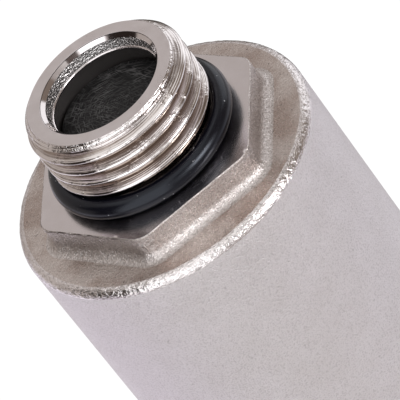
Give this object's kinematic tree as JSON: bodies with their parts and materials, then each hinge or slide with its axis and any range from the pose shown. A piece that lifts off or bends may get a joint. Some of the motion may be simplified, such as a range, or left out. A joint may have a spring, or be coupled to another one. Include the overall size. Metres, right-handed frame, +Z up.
{
  "type": "automatic air vent",
  "caption": "Float-operated automatic air vent: threaded stub with O-ring, hexagon and round body, screwed cover, spring-closed float valve and screw cap.",
  "frame": {"origin": "centre of the threaded stub's end face, the lowest point of the vent", "axes": "+Z up along the vent's axis from the thread to the cap, +X towards a corner of the spanner hexagon and along the lever from its pivot"},
  "size_m": [0.0382, 0.0382, 0.0734],
  "materials": {
    "forged_nickel": "satin",
    "turned_nickel": "satin",
    "black_rubber": "matte",
    "seal_rubber": "matte",
    "float_plastic": "matte",
    "acetal": "satin",
    "cap_plastic": "satin",
    "stainless": "satin",
    "spring_steel": "satin"
  },
  "bodies": {
    "root": {"vent_body": "forged_nickel", "thread_o_ring": "black_rubber", "cover": "forged_nickel", "cover_o_ring": "black_rubber", "jet": "turned_nickel", "jet_o_ring": "black_rubber", "valve_holder": "acetal", "holder_screws": "stainless", "lever_pin": "stainless", "pin_clip": "spring_steel", "closing_spring": "spring_steel"},
    "float": {"float_shell": "float_plastic", "float_lid": "float_plastic", "float_hook": "stainless", "hook_screws": "stainless"},
    "lever": {"lever": "stainless"},
    "poppet": {"poppet": "acetal", "poppet_seal": "seal_rubber", "stem_clip": "spring_steel"},
    "cap_disc": {"cap_disc": "seal_rubber"},
    "vent_cap": {"vent_cap": "cap_plastic"}
  },
  "joints": [
    {"name": "float_rise", "type": "slide", "parent": "root", "child": "float", "axis": [0, 0, 1], "range_m": [0, 0.0045]},
    {"name": "lever_swing", "type": "hinge", "parent": "root", "child": "lever", "pos_m": [-0.005, 0, 0.045], "axis": [0, -1, 0], "range_deg": [0, 17.19]},
    {"name": "poppet_lift", "type": "slide", "parent": "root", "child": "poppet", "axis": [0, 0, 1], "range_m": [0, 0.0015], "deforming": ["closing_spring"]},
    {"name": "cap_lift", "type": "slide", "parent": "root", "child": "cap_disc", "axis": [0, 0, 1], "range_m": [0, 0.003]},
    {"name": "cap_turn", "type": "hinge", "parent": "cap_disc", "child": "vent_cap", "pos_m": [0, 0, 0.07], "axis": [0, 0, 1], "range_deg": [0, 1080]}
  ],
  "couplings": [
    {"joint": "lever_swing", "follows": "float_rise", "rad_per_m": 66.667},
    {"joint": "poppet_lift", "follows": "float_rise", "ratio": 0.33333},
    {"joint": "cap_turn", "follows": "cap_lift", "rad_per_m": 6283.2}
  ]
}
